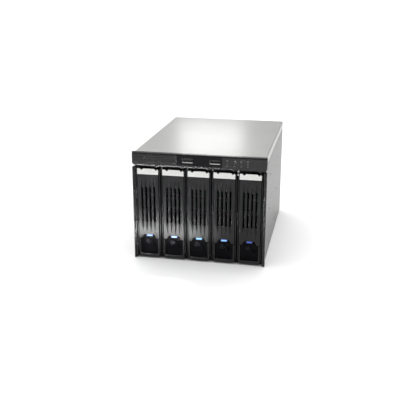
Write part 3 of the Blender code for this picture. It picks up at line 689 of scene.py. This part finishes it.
FAN_X, FAN_Z = middle("fan_frame", 0), middle("fan_frame", 2)
FAN_Y = span("fan_frame", 1)
FAN_HALF = (span("fan_frame", 0)[1] - span("fan_frame", 0)[0]) / 2
FAN_BORE = 0.0445
FAN_HUB = 0.0180
FAN_HOLE = 0.0019
FAN_FLANGE = 0.0040
FAN_SWEEP = math.radians(16)
FAN_SCREWS = [tuple(middle(f"fan_screw_{number}", axis) for axis in (0, 2)) for number in range(1, 5)]
SCREW_TIP = span("fan_screw_1", 1)[0]
SCREW_HEAD = 0.0030
SCREW_SHANK = 0.0014
SCREW_CROWN = 0.0007
CABLE_X = (0.0360, 0.0680)
CABLE_Z = (0.0120, 0.1080)
GRILLE_RADIUS = 0.0430
GRILLE_ROW = 0.0080
GRILLE_SLOT = 0.0050
GRILLE_SPINE = 0.0015
BLADES = 7


def grille_slots():
    """Rows of round-ended slots inside the fan's circle, split by an upright spine."""
    rows = int(GRILLE_RADIUS // GRILLE_ROW)
    slots = []
    for row in range(-rows, rows + 1):
        level = row * GRILLE_ROW
        reach = math.sqrt(GRILLE_RADIUS**2 - (abs(level) + GRILLE_SLOT / 2) ** 2)
        z = about(FAN_Z + level, GRILLE_SLOT / 2)
        for x in ((FAN_X - reach, FAN_X - GRILLE_SPINE), (FAN_X + GRILLE_SPINE, FAN_X + reach)):
            slots.append(rounded(rectangle(x, z), GRILLE_SLOT * 0.45, 4))
    return slots


def make_rear_panel():
    outline = rounded(rectangle(span("rear_panel", 0), span("rear_panel", 2)), 0.0015, 3)
    window = rounded(rectangle(CABLE_X, CABLE_Z), 0.0025, 5)
    holes = [circle(place, FAN_HOLE, 20) for place in FAN_SCREWS]
    panel = plate([outline, window, *grille_slots(), *holes], span("rear_panel", 1), edge=0.00015)
    show("back_panel", smooth(panel), "cage", SHEET, ["rear_panel"])


def make_fan_frame():
    """Two square flanges on a round duct, with hollow screw posts and four struts that hold the motor."""
    square = rounded(rectangle(about(FAN_X, FAN_HALF), about(FAN_Z, FAN_HALF)), 0.0045, 6)
    bore = circle((FAN_X, FAN_Z), FAN_BORE, 72)
    holes = [circle(place, FAN_HOLE, 20) for place in FAN_SCREWS]
    flanges = [
        plate([square, bore, *holes], depth, edge=0.0003)
        for depth in ((FAN_Y[0], FAN_Y[0] + FAN_FLANGE), (FAN_Y[1] - FAN_FLANGE, FAN_Y[1]))
    ]
    between = (FAN_Y[0] + FAN_FLANGE - 0.0004, FAN_Y[1] - FAN_FLANGE + 0.0004)
    duct = plate([circle((FAN_X, FAN_Z), FAN_HALF - 0.0002, 72), bore], between)
    posts = [
        plate([circle(place, FAN_HOLE + 0.0016, 20), circle(place, FAN_HOLE, 20)], between)
        for place in FAN_SCREWS
    ]
    motor_y = (FAN_Y[1] - 0.0030, FAN_Y[1] - 0.0002)
    motor = turned(
        [
            (0.0, motor_y[0]),
            (FAN_HUB, motor_y[0]),
            (FAN_HUB, motor_y[1] - 0.0006),
            (FAN_HUB - 0.0006, motor_y[1]),
            (FAN_HUB - 0.0030, motor_y[1]),
            (FAN_HUB - 0.0034, motor_y[1] - 0.0004),
            (0.0, motor_y[1] - 0.0004),
        ],
        (FAN_X, 0.0, FAN_Z),
        sides=48,
    )
    struts = []
    for number in range(4):
        turn = math.radians(90 * number + 35)
        lean = turn + FAN_SWEEP
        ends = []
        for along, angle in ((FAN_HUB - 0.001, turn), (FAN_BORE + 0.0006, lean)):
            across = Vector((-math.sin(angle), math.cos(angle))) * 0.0020
            point = Vector((FAN_X + along * math.cos(angle), FAN_Z + along * math.sin(angle)))
            ends.append((tuple(point - across), tuple(point + across)))
        struts.append(plate([[ends[0][0], ends[1][0], ends[1][1], ends[0][1]]], motor_y, edge=0.0004))
    mesh = together(*flanges, duct, *posts, motor, *struts)
    show("fan_housing", smooth(mesh), "cage", FAN, ["fan_frame"])


def fan_blade(number, centre_y):
    """One swept and cambered blade, steeper at its root."""
    reach = chord = 9
    bm = bmesh.new()
    grid = []
    for i in range(reach + 1):
        out = i / reach
        radius = FAN_HUB - 0.0010 + out * (0.0430 - FAN_HUB + 0.0010)
        pitch = math.radians(52 - 20 * out)
        width = 0.0155 + 0.0065 * out
        row = []
        for j in range(chord + 1):
            u = j / chord - 0.5
            along = width * u
            camber = 0.0022 * (1 - 4 * u * u)
            y = centre_y + along * math.sin(pitch) - camber * math.cos(pitch)
            turn = (
                2 * math.pi * number / BLADES
                + (along * math.cos(pitch) + camber * math.sin(pitch)) / radius
                + FAN_SWEEP * out
            )
            row.append(bm.verts.new((FAN_X + radius * math.cos(turn), y, FAN_Z + radius * math.sin(turn))))
        grid.append(row)
    for i in range(reach):
        for j in range(chord):
            bm.faces.new((grid[i][j], grid[i + 1][j], grid[i + 1][j + 1], grid[i][j + 1]))
    bmesh.ops.recalc_face_normals(bm, faces=bm.faces)
    bmesh.ops.solidify(bm, geom=bm.faces[:], thickness=0.0012)
    return mesh_from(bm)


def make_rotor():
    front, back = span("fan_rotor", 1)
    hub = turned(
        [
            (0.0, front + 0.0002),
            (FAN_HUB - 0.0016, front + 0.0002),
            (FAN_HUB - 0.0005, front + 0.0007),
            (FAN_HUB, front + 0.0018),
            (FAN_HUB, back - 0.0002),
            (0.0, back - 0.0002),
        ],
        (FAN_X, 0.0, FAN_Z),
        sides=48,
    )
    blades = [fan_blade(number, (front + back) / 2 - 0.0006) for number in range(BLADES)]
    show("fan_wheel", smooth(together(hub, *blades)), "fan_rotor", FAN, ["fan_rotor"])


def make_screws():
    """The fan's four pan-head screws. Each has a cross in its head, which faces back."""
    head, shank, crown = SCREW_HEAD, SCREW_SHANK, SCREW_CROWN
    under = REAR - crown - 0.0002
    profile = [
        (0.0, SCREW_TIP),
        (shank * 0.6, SCREW_TIP),
        (shank, SCREW_TIP + 0.0008),
        (shank, under),
        (head, under),
        (head, REAR - crown * 0.6),
        (head * 0.86, REAR - crown * 0.18),
        (head * 0.55, REAR),
        (0.0, REAR),
    ]
    arm, width = about(0, head * 0.62), about(0, head * 0.11)
    deep = (REAR - crown * 0.75, REAR + OVER)
    mesh = smooth(cut(turned(profile, (0, 0, 0), sides=24), box(arm, deep, width), box(width, deep, arm)))
    for number, (x, z) in enumerate(FAN_SCREWS, start=1):
        obj = show(f"fan_screw_head_{number}", mesh, "cage", STEEL, [f"fan_screw_{number}"], x)
        obj.location.z = z


# ---------------------------------------------------------------- boards and sockets


CONTACT_PITCH = 0.00127
DATA_PITCH = 0.0150
POWER_PITCH = 0.00508


def make_boards():
    """The two boards. Three capacitors and a few chips, whose places are made up, stand on them."""
    for node in ("control_board", "backplane_pcb"):
        keep(node, BOARD)
    back = span("backplane_pcb", 1)[1]
    can = [(0.0, 0.0), (0.0028, 0.0), (0.0028, 0.0050), (0.0024, 0.0055), (0.0, 0.0055)]
    can = [(radius, back + out) for radius, out in can]
    cans = [turned(can, (x, 0.0, 0.1005), sides=24) for x in (0.0410, 0.0480, 0.0620)]
    show("board_capacitors", smooth(together(*cans)), "cage", STEEL)
    chips = [
        box(about(x, 0.0035), (back, back + 0.0014), about(z, 0.0035), 0.0002)
        for x, z in ((0.0420, 0.0150), (0.0570, 0.0185))
    ]
    small = ((back, back + 0.0008), about(0.0215, 0.0006))
    chips += [box(about(x, 0.0010), *small) for x in (0.037, 0.049, 0.0635)]
    top = span("control_board", 2)[1]
    upper = ((-0.0800, -0.0740), (top, top + 0.0012))
    chips += [box(about(x, 0.0030), *upper, 0.0002) for x in (0.0000, 0.0380)]
    show("board_chips", smooth(together(*chips)), "cage", CONNECTOR)


def socket_block(outline, pockets, floor, y):
    """A block over the span y, with pockets that open to the back and end at floor."""
    pocketed = plate([outline, *pockets], (floor, y[1]), edge=0.0002)
    return together(pocketed, plate([outline], (y[0], floor + 0.0001)))


def make_drive_connectors():
    """Each drive's socket: a long and a short tongue in a shroud, with gold contacts."""
    x, y, z = (span("drive_connector_1", axis) for axis in range(3))
    x = (x[0] - BAY_X[1], x[1] - BAY_X[1])
    mid_x = sum(x) / 2
    edge = z[0] + 0.55 * (z[1] - z[0])
    shroud_holes = [
        rounded(rectangle(about(mid_x, 0.0016), part), 0.0004, 2)
        for part in ((z[0] + 0.0012, edge - 0.0006), (edge + 0.0006, z[1] - 0.0012))
    ]
    outline = rounded(rectangle(x, z), 0.0006, 3)
    shroud = plate([outline, *shroud_holes], (y[0], y[1] - 0.0011), edge=0.0001)
    floor = plate([outline], (y[1] - 0.0012, y[1]), edge=0.0001)
    tongue_y = (y[0] + 0.0004, y[1] - 0.0011)
    tongues = [
        box(about(mid_x, 0.0006), tongue_y, (z[0] + 0.0024, edge - 0.0016)),
        box(about(mid_x, 0.0006), tongue_y, (edge + 0.0016, z[1] - 0.0024)),
        box((mid_x - 0.0012, mid_x), tongue_y, (z[0] + 0.0024, z[0] + 0.0030)),
    ]
    mesh = smooth(together(shroud, floor, *tongues))
    rows = ((z[0] + 0.0036, 12), (edge + 0.0028, 9))
    pins = [start + CONTACT_PITCH * step for start, count in rows for step in range(count)]
    pin_x = (mid_x + 0.00055, mid_x + 0.00075)
    contacts = together(*[box(pin_x, tongue_y, about(pin, 0.0003)) for pin in pins])
    for bay, place in BAY_X.items():
        node = f"drive_connector_{bay}"
        show(f"drive_socket_{bay}", mesh, "cage", CONNECTOR, [node], place)
        show(f"drive_contacts_{bay}", contacts, "cage", GOLD, x=place)


def make_data_sockets():
    """Five data sockets in one block, which cables reach from behind."""
    x, y, z = (span("sata_port_block", axis) for axis in range(3))
    places = [sum(z) / 2 + (row - 2) * DATA_PITCH for row in range(5)]
    mid_x = sum(x) / 2
    outline = rounded(rectangle(x, z), 0.0006, 3)
    pocket_x = about(mid_x, 0.0062)
    pockets = [rounded(rectangle(pocket_x, about(place, 0.0024)), 0.0005, 3) for place in places]
    floor = y[1] - 0.0080
    block = socket_block(outline, pockets, floor, y)
    key_y = (floor, y[1] - 0.0012)
    keys = []
    pins = []
    for place in places:
        keys.append(box(about(mid_x, 0.0046), key_y, (place - 0.0008, place + 0.0004), 0.0001))
        keys.append(box((mid_x + 0.0034, mid_x + 0.0046), key_y, (place - 0.0018, place), 0.0001))
        pin_yz = ((floor, y[1] - 0.0018), (place + 0.0003, place + 0.0006))
        pins += [box(about(mid_x - 0.0034 + CONTACT_PITCH * step, 0.0003), *pin_yz) for step in range(7)]
    show("data_socket_block", smooth(block), "cage", CONNECTOR, ["sata_port_block"])
    show("data_socket_tongues", smooth(together(*keys)), "cage", CONNECTOR)
    show("data_socket_contacts", together(*pins), "cage", GOLD)


def make_power_sockets():
    """Two four-pin power sockets in one shell, keyed by their cut-off corners."""
    x, y, z = (span("power_connector", axis) for axis in range(3))
    quarter = (z[1] - z[0]) / 4
    mid_x = sum(x) / 2
    centres = (z[0] + quarter, z[1] - quarter)
    lower = [(-0.0035, -0.0095), (0.0015, -0.0095), (0.0035, -0.0075)]
    pocket = lower + [(px, -pz) for px, pz in reversed(lower)]
    pockets = [[(mid_x + px, pz + centre) for px, pz in pocket] for centre in centres]
    outline = rounded(rectangle(x, z), 0.0007, 3)
    floor = y[1] - 0.0090
    shell = socket_block(outline, pockets, floor, y)
    show("power_shell", smooth(shell), "cage", NYLON, ["power_connector"])
    tip = y[1] - 0.0015
    pin = [(0.0, floor), (0.00105, floor), (0.00105, tip - 0.0007), (0.0006, tip), (0.0, tip)]
    places = [centre + (step - 1.5) * POWER_PITCH for centre in centres for step in range(4)]
    pins = [turned(pin, (mid_x, 0.0, place), sides=16) for place in places]
    show("power_pins", smooth(together(*pins)), "cage", STEEL)


# ---------------------------------------------------------------- trays
# Each shape is made round x = 0, and shown in every bay.

TRAY_HALF = 0.0132
RAIL_LOW = (0.0022, 0.0036)
RAIL_HIGH = (0.1055, 0.1070)
WALL_Y = (-0.0932, -0.0912)
WALL_WINDOWS = ((0.0420, 0.0575), (0.0605, 0.0725), (0.0755, 0.0880))
FIN_X = (0.0124, 0.0134)
FIN_Z = (0.0075, 0.1053)
FIN_FRONT = -0.0984
POCKET_OUTER = 0.0120
POCKET_INNER = 0.0099
POCKET_FLOOR = 0.0056
POCKET_TOP = 0.0238
POCKET_FRONT = -0.0988
DRIVE_HOLE_Y = (-0.0560, 0.0456)
DRIVE_HOLE = 0.0018
RAIL_SLOT_Y = (-0.0780, -0.0300, 0.0000, 0.0250)
HINGE = (-0.0964, 0.1026)
HINGE_BORE = 0.00095
LEVER_HALF = 0.0119
LEVER_FOOT = 0.0117
LEVER_Z = (0.0243, 0.0989)
LEVER_Y = (-0.0993, -0.0966)
NOTCH_HALF = (0.0080, 0.0056)
NOTCH_TOP = 0.0287
SLOT_X = [(slot - 1.5) * 0.0046 for slot in range(4)]
SLOT_HALF = 0.0011
SLOT_Z = (0.0440, 0.0845)
FLUTE_ENDS = (0.0315, 0.0955)
CAP_Z = span("lever_cap_1", 2)
CAP_Y = span("lever_cap_1", 1)
LATCH_Y = span("latch_1", 1)
LATCH_Z = (span("latch_1", 2)[0], 0.0236)
LATCH_HEAD = ((0.0074, 0.0239), (0.0050, span("latch_1", 2)[1]))
LOCK_X, LOCK_Z = middle("lock_1", 0) - BAY_X[1], middle("lock_1", 2)
LOCK_Y = span("lock_1", 1)
LOCK_RADIUS = 0.0032
LENS_Y = span("status_lens_1", 1)
LENS_Z = span("status_lens_1", 2)
GLOWS = {  # each bay's colour and strength
    1: ((0.42, 0.58, 1.00), 1.3),
    2: ((0.46, 0.64, 1.00), 1.6),
    3: ((0.32, 0.60, 0.94), 1.5),
    4: ((0.22, 0.42, 1.00), 1.2),
    5: ((0.08, 0.14, 0.56), 0.5),
}


def both_sides(right):
    return right + [(-x, z) for x, z in reversed(right)]


def carrier_mesh():
    """The tray's front wall with its windows and crossbars, and two rails with the drive's screw holes."""
    wall_outline = rectangle(about(0.0, TRAY_HALF), (RAIL_LOW[0], RAIL_HIGH[1]))
    windows = [rounded(rectangle(about(0.0, 0.0080), z), 0.0010, 3) for z in WALL_WINDOWS]
    wall = plate([wall_outline, *windows], WALL_Y, edge=0.0002)
    bars = [
        box(about(0.0, 0.0084), (WALL_Y[0] - 0.0008, WALL_Y[0] + 0.0016), (lower[1], upper[0]), 0.0008, 4)
        for lower, upper in zip(WALL_WINDOWS, WALL_WINDOWS[1:])
    ]
    pieces = [wall, *bars]
    holes = [circle((0.0, y), DRIVE_HOLE, 20) for y in DRIVE_HOLE_Y]
    slots = [rounded(rectangle(about(0.0, 0.0060), about(y, 0.0100)), 0.0020, 4) for y in RAIL_SLOT_Y]
    rear = rounded(rectangle(about(0.0, TRAY_HALF), (WALL_Y[1] - 0.0003, 0.0600)), 0.0010, 3)
    for z in (RAIL_LOW, RAIL_HIGH):
        pieces.append(plate([rear, *holes, *slots], z, "Z", edge=0.0002))
    return smooth(together(*pieces))


def pocket_mesh():
    """The frame round the latch, with the ridge along its foot, and the fins beside the lever."""
    outer, inner = POCKET_OUTER, POCKET_INNER
    right = [(outer, RAIL_LOW[0]), (outer, POCKET_TOP), (inner, POCKET_TOP), (inner, POCKET_FLOOR)]
    posts = rounded(both_sides(right), 0.0006, 3)
    frame_plate = plate([posts], (POCKET_FRONT, WALL_Y[0] + 0.0003), edge=0.0004, steps=3)
    front = POCKET_FRONT - 0.0004
    slope = [(front, 0.0044), (front + 0.00018, 0.0057), (front + 0.0013, 0.0059), (front + 0.0013, 0.0044)]
    ridge = plate([slope], about(0.0, inner - 0.0004), "X")
    fin = box(FIN_X, (FIN_FRONT, WALL_Y[1]), FIN_Z, 0.0003, 3)
    return smooth(together(frame_plate, ridge, mirrored(fin)))


def flute(end, mouth, x):
    """A cutter for one tapered flute: it runs from a slot's mouth to a point on the lever's face."""
    length = abs(end - mouth) + 0.0015
    radii = (0.00135, 0.00005)
    centre = end - length / 2
    if end < mouth:
        radii = radii[::-1]
        centre = end + length / 2
    bm = bmesh.new()
    bmesh.ops.create_cone(bm, cap_ends=True, segments=20, radius1=radii[0], radius2=radii[1], depth=length)
    bm.transform(Matrix.Translation((x, LEVER_Y[0] + 0.0001, centre)))
    return mesh_from(bm)


def lever_mesh():
    """The slotted lever, with flutes that run out of its slots, stiffeners behind, and the hinge knuckle."""
    low, high = LEVER_Z
    right = [(NOTCH_HALF[1], NOTCH_TOP), (NOTCH_HALF[0], low), (LEVER_FOOT, low), (LEVER_HALF, high)]
    slots = [rounded(rectangle(about(x, SLOT_HALF), SLOT_Z), 0.0006, 3) for x in SLOT_X]
    panel = plate([rounded(both_sides(right), 0.0004, 2), *slots], LEVER_Y, edge=0.0004, steps=3)
    cutters = [flute(end, mouth, x) for end, mouth in zip(FLUTE_ENDS, SLOT_Z) for x in SLOT_X]
    stiffener_y = (LEVER_Y[1] - 0.0003, LEVER_Y[1] + 0.0011)
    stiffener = box((0.0104, 0.0112), stiffener_y, (0.0300, 0.0960), 0.0002)
    knuckle = box(about(0.0, 0.0116), (-0.0981, -0.0947), (0.0965, 0.1049), 0.0006, 3)
    bore = plate([circle(HINGE, HINGE_BORE, 20)], about(0.0, 0.0200), "X")
    return smooth(together(cut(panel, *cutters), mirrored(stiffener), cut(knuckle, bore)))


def cap_mesh():
    """The bright cap, with a half-round dimple and a V in its top edge."""
    low, high = CAP_Z
    dimple = [
        (-0.0069 + 0.0015 * math.cos(turn), high - 0.0015 * math.sin(turn))
        for turn in (math.pi * step / 10 for step in range(11))
    ]
    outline = [
        (-LEVER_HALF, low),
        (LEVER_HALF, low),
        (LEVER_HALF, high - 0.0020),
        (LEVER_HALF - 0.0008, high),
        (0.0110, high),
        (0.0092, high - 0.0019),
        (0.0074, high),
        *dimple,
        (-LEVER_HALF, high),
    ]
    return smooth(plate([outline], CAP_Y, edge=0.0003, steps=3))


def latch_mesh():
    """The release button: a flat plate with a raised collar round the lock and a rim round the slot."""
    right = [(0.0095, LATCH_Z[0]), (0.0095, LATCH_Z[1]), *LATCH_HEAD]
    bore = circle((LOCK_X, LOCK_Z), LOCK_RADIUS + 0.0002, 40)
    slot = rectangle((0.0046, 0.0063), (0.0158, 0.0230))
    outline = rounded(both_sides(right), 0.0005, 3)
    body = plate([outline, bore, rounded(slot, 0.0008, 4)], LATCH_Y, edge=0.0003, steps=3)
    front = LATCH_Y[0]
    rings = [circle((LOCK_X, LOCK_Z), LOCK_RADIUS + wider, 40) for wider in (0.0009, 0.0003)]
    collar = plate(rings, about(front, 0.0004), edge=0.00025)
    around = rounded(rectangle((0.0040, 0.0069), (0.0152, 0.0234)), 0.0013, 5)
    rim = plate([around, rounded(slot, 0.0008, 5)], about(front, 0.0003), edge=0.0002)
    thumb_xy = (about(0.0, 0.0070), about(front, 0.0003))
    thumb = [box(*thumb_xy, about(z, 0.0004), 0.00025) for z in (0.0082, 0.0098)]
    return smooth(together(body, collar, rim, *thumb))


def lock_mesh():
    """The lock barrel: a stepped face and a keyway."""
    front, back = LOCK_Y
    face = [
        (0.0, back),
        (LOCK_RADIUS, back),
        (LOCK_RADIUS, front + 0.0004),
        (LOCK_RADIUS - 0.0003, front),
        (LOCK_RADIUS - 0.0009, front),
        (LOCK_RADIUS - 0.0011, front + 0.0004),
        (0.0, front + 0.0004),
    ]
    barrel = turned(face, (LOCK_X, 0.0, LOCK_Z), sides=40)
    deep = (front - OVER, front + 0.0018)
    keyway = box(about(LOCK_X, 0.0003), deep, about(LOCK_Z, 0.0014))
    ward = box(about(LOCK_X, 0.0006), deep, (LOCK_Z - 0.0003, LOCK_Z + 0.0005))
    return smooth(cut(barrel, keyway, ward))


def lens_mesh():
    low, high = LENS_Z[0] + 0.0001, LENS_Z[1] - 0.0004
    outline = [(-0.0035, low), (0.0035, low), (0.0026, high), (-0.0026, high)]
    return smooth(plate([rounded(outline, 0.0004, 3)], LENS_Y, edge=0.0002))


def make_trays():
    carrier, pocket, lever = carrier_mesh(), pocket_mesh(), lever_mesh()
    cap, latch, lock = cap_mesh(), latch_mesh(), lock_mesh()
    for bay, x in BAY_X.items():
        tray, swing = f"tray_{bay}", f"lever_{bay}"
        show(f"tray_frame_{bay}", carrier, tray, TRAY, [f"tray_carrier_{bay}"], x)
        show(f"pocket_frame_{bay}", pocket, tray, LEVER, x=x)
        show(f"lever_panel_{bay}", lever, swing, LEVER, [f"lever_{bay}"], x)
        show(f"lever_top_{bay}", cap, swing, CAP, [f"lever_cap_{bay}"], x)
        show(f"release_{bay}", latch, f"latch_{bay}", LATCH, [f"latch_{bay}"], x)
        show(f"lock_barrel_{bay}", lock, f"lock_{bay}", DARK_STEEL, [f"lock_{bay}"], x)
        lens = lit_lens(f"lit_lens_{bay}", *GLOWS[bay])
        show(f"status_window_{bay}", lens_mesh(), tray, lens, [f"status_lens_{bay}"], x)
        keep(f"hinge_pin_{bay}", STEEL)


# ---------------------------------------------------------------- studio


def make_floor():
    """A pale floor under the cage."""
    bm = bmesh.new()
    bmesh.ops.create_grid(bm, x_segments=1, y_segments=1, size=30.0)
    floor = placed("floor", written(bm))
    floor.location.z = -0.0002
    surface = Nodes("pale_floor", (0.86, 0.86, 0.86), 0.6)
    surface.vary_roughness(surface.noise(40.0), 0.55, 0.65)
    floor.data.materials.append(surface.material)


def place_light(light, place, target):
    """The light stands at place, aimed at target, where the camera doesn't see it."""
    obj = placed(light.name, light)
    obj.location = place
    obj.rotation_euler = (Vector(target) - Vector(place)).to_track_quat("-Z", "Y").to_euler()
    obj.visible_camera = False


def softbox(name, place, target, size, power, spread=180):
    light = bpy.data.lights.new(name, "AREA")
    light.shape = "RECTANGLE"
    light.size, light.size_y = size
    light.energy = power
    light.spread = math.radians(spread)
    place_light(light, place, target)


def make_lights():
    """An even white sky, a broad soft key overhead, a softbox in front over the floor and one behind."""
    world = bpy.data.worlds.new("studio")
    world.use_nodes = True
    bpy.context.scene.world = world
    background = world.node_tree.nodes["Background"]
    background.inputs["Color"].default_value = (1.0, 1.0, 1.0, 1.0)
    background.inputs["Strength"].default_value = 0.44
    key = bpy.data.lights.new("key", "SUN")
    key.energy = 3.5
    key.angle = math.radians(116)
    place_light(key, (-0.12, 0.16, 1.0), (0.0, 0.0, 0.0))
    softbox("front", (-0.095, -0.190, 0.10), (-0.095, -0.190, 0.0), size=(0.16, 0.025), power=0.58, spread=38)
    softbox("behind", (-0.050, 0.24, 0.212), (0.0, -0.07, 0.124), size=(0.10, 0.040), power=0.042)


def make_camera():
    """The camera's place comes from its angles round a point on the front face."""
    azimuth, elevation, roll = math.radians(10.8), math.radians(18.8), math.radians(0.2)
    aim = Vector((0.0107, FRONT, 0.0650))
    distance = 0.748
    level = math.cos(elevation)
    back = Vector((math.sin(azimuth) * level, -math.cos(azimuth) * level, math.sin(elevation)))
    camera = bpy.data.cameras.new("camera")
    camera.sensor_width = 36.0
    camera.lens = 59.2
    camera.clip_start = 0.01
    obj = placed("camera", camera)
    obj.location = aim + back * distance
    turn = (-back).to_track_quat("-Z", "Y").to_matrix() @ Matrix.Rotation(roll, 3, "Z")
    obj.rotation_euler = turn.to_euler()
    bpy.context.scene.camera = obj


make_chassis()
make_cover()
make_front_frame()
make_bar()
make_bar_window()
make_marks()
make_light_pipe()
make_usb()
make_rear_panel()
make_fan_frame()
make_rotor()
make_screws()
make_boards()
make_drive_connectors()
make_data_sockets()
make_power_sockets()
keep("top_shelf", INNER_SHEET, 0.0002)
keep("lower_guide", GUIDE, 0.0002)
make_trays()
make_floor()
make_lights()
make_camera()
bpy.context.scene.view_settings.view_transform = "Standard"
